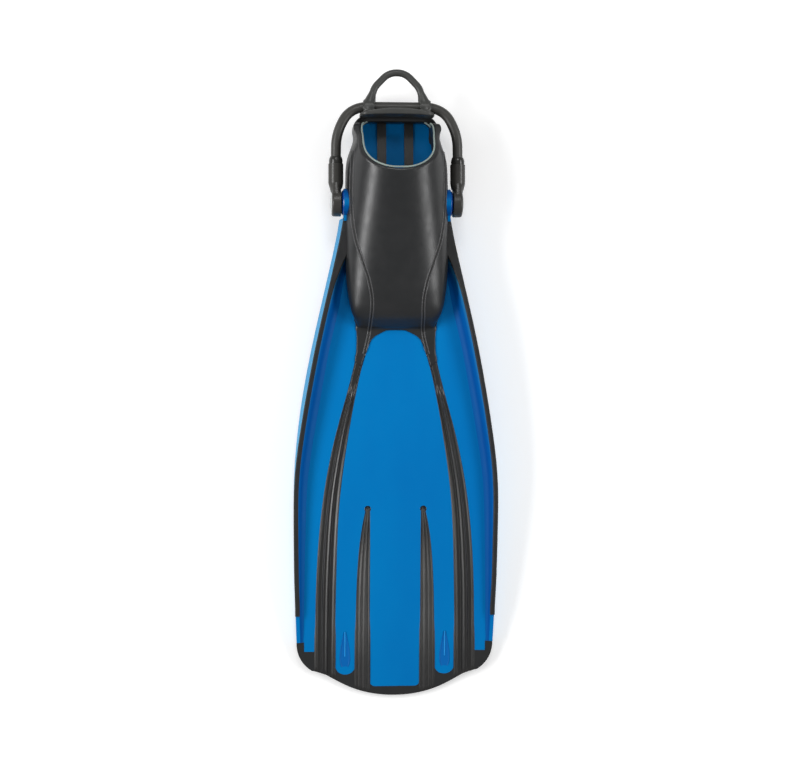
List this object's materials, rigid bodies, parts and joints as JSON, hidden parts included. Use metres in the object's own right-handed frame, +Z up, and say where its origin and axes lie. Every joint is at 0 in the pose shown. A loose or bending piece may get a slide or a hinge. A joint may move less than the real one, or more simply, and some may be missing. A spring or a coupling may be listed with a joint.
{
  "type": "open-heel swim fin",
  "caption": "Open-heel swim fin: a ribbed plastic blade with rubber channels and rails, a rubber foot pocket, and a bungee heel strap that swings on side posts.",
  "frame": {"origin": "on the floor, under the middle of the fin's length and width, with the fin lying on its sole", "axes": "+X the wearer's right, +Y from the tip of the blade to the heel, +Z up"},
  "size_m": [0.226, 0.692, 0.0952],
  "materials": {
    "blade_blue": "moulded technical plastic, satin gloss",
    "black_rubber": "moulded thermoplastic rubber, satin",
    "post_blue": "glossy moulded plastic",
    "buckle_plastic": "fine satin moulded plastic",
    "cap_grey": "pale satin plastic",
    "clip_steel": "spring steel strip",
    "stop_steel": "crimped stainless steel",
    "cord_rubber": "smooth extruded rubber cord",
    "pad_rubber": "soft moulded rubber, satin"
  },
  "bodies": {
    "fin": {"blade": "blade_blue", "tip_edge": "black_rubber", "foot_pocket": "black_rubber", "footbed_grip": "black_rubber", "sole_tread": "black_rubber", "outer_channel_left": "black_rubber", "outer_channel_right": "black_rubber", "inner_channel_left": "black_rubber", "inner_channel_right": "black_rubber", "rail_trim_left": "black_rubber", "rail_trim_right": "black_rubber", "strap_post_left": "post_blue", "strap_post_right": "post_blue"},
    "strap": {"bungee_cord": "cord_rubber", "buckle_left": "buckle_plastic", "buckle_right": "buckle_plastic", "buckle_cap_left": "cap_grey", "buckle_cap_right": "cap_grey", "snap_clip_left": "clip_steel", "snap_clip_right": "clip_steel", "cord_stop_left": "stop_steel", "cord_stop_right": "stop_steel", "ferrule_left": "buckle_plastic", "ferrule_right": "buckle_plastic"},
    "heel_pad": {"heel_pad": "pad_rubber"}
  },
  "joints": [
    {"name": "strap_swivel", "type": "hinge", "parent": "fin", "child": "strap", "pos_m": [0, 0.199, 0.04], "axis": [1, 0, 0], "range_deg": [0, 120]},
    {"name": "heel_pull", "type": "slide", "parent": "strap", "child": "heel_pad", "axis": [0, 1, 0], "range_m": [0, 0.05], "stiffness_N_per_m": 1600, "deforming": ["bungee_cord"]}
  ]
}
